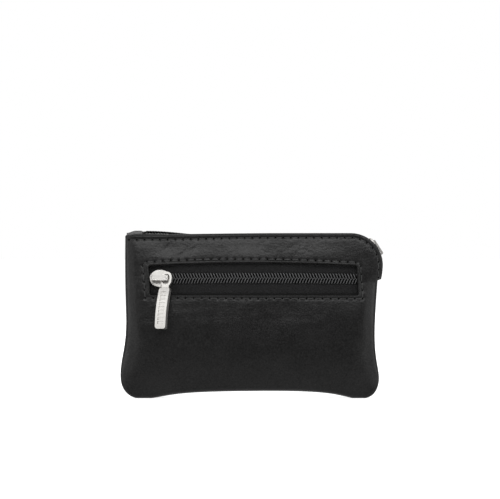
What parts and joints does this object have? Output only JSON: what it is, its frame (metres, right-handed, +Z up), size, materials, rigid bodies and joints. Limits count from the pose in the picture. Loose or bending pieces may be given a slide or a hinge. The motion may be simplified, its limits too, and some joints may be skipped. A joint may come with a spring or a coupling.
{
  "type": "coin purse",
  "caption": "Flat leather coin purse with a coil zip round the top and corner and a zipped front pocket; sliders and pulls move.",
  "frame": {"origin": "middle of the footprint, on the surface the purse stands on: the bounding box's bottom centre", "axes": "+X to the right seen from the front, -Y out of the front with the zipped pocket, +Z up"},
  "size_m": [0.126, 0.0306, 0.0804],
  "materials": {
    "leather": "smooth satin grain",
    "lining": "woven",
    "thread": "twisted bonded thread",
    "dark_metal": "satin black",
    "spring_steel": "plain",
    "zip_tape": "woven twill tape",
    "zip_coil": "satin nylon",
    "metal": "polished nickel"
  },
  "bodies": {
    "purse": {"back_panel": "leather", "front_panel": "leather", "front_zip_bottom_stop": "dark_metal", "front_zip_coil_lower": "zip_coil", "front_zip_coil_upper": "zip_coil", "front_zip_tape_lower": "zip_tape", "front_zip_tape_upper": "zip_tape", "front_zip_top_stops": "dark_metal", "main_lining_back": "lining", "main_lining_front": "lining", "main_zip_bottom_stop": "dark_metal", "main_zip_coil_back": "zip_coil", "main_zip_coil_front": "zip_coil", "main_zip_tape_back": "zip_tape", "main_zip_tape_front": "zip_tape", "main_zip_top_stops": "dark_metal", "pocket_lining_back": "lining", "pocket_lining_front": "lining", "seam_stitches": "thread", "top_stitches_back": "thread", "top_stitches_front": "thread", "window_stitches": "thread", "zip_end_tab": "leather"},
    "front_slider": {"front_slider_body": "metal", "front_slider_bail": "metal", "front_slider_lock_spring": "spring_steel"},
    "front_pull": {"front_pull": "metal"},
    "main_slider": {"main_slider_body": "metal", "main_slider_bail": "metal", "main_slider_lock_spring": "spring_steel"},
    "main_pull_link": {"main_pull_link": "metal"},
    "main_pull": {"main_pull": "metal"}
  },
  "joints": [
    {"name": "front_zip_slide", "type": "slide", "parent": "purse", "child": "front_slider", "axis": [1, 0, 0], "range_m": [0, 0.088]},
    {"name": "front_pull_swing", "type": "hinge", "parent": "front_slider", "child": "front_pull", "pos_m": [-0.03995, -0.00792, 0.05785], "axis": [-0.4295, -0.8694, 0.2443], "range_deg": [-5, 80]},
    {"name": "main_zip_corner", "type": "hinge", "parent": "purse", "child": "main_slider", "pos_m": [0.0473, 0.00219, 0.06384], "axis": [0, -1, 0], "range_deg": [-18, 57]},
    {"name": "main_link_turn", "type": "hinge", "parent": "main_slider", "child": "main_pull_link", "pos_m": [0.058, 0.00219, 0.07502], "axis": [0.8387, 0, 0.5446], "range_deg": [-2, 12]},
    {"name": "main_pull_swing", "type": "hinge", "parent": "main_pull_link", "child": "main_pull", "pos_m": [0.05887, 0.01299, 0.07368], "axis": [0, 1, 0], "range_deg": [-15, 35]}
  ]
}
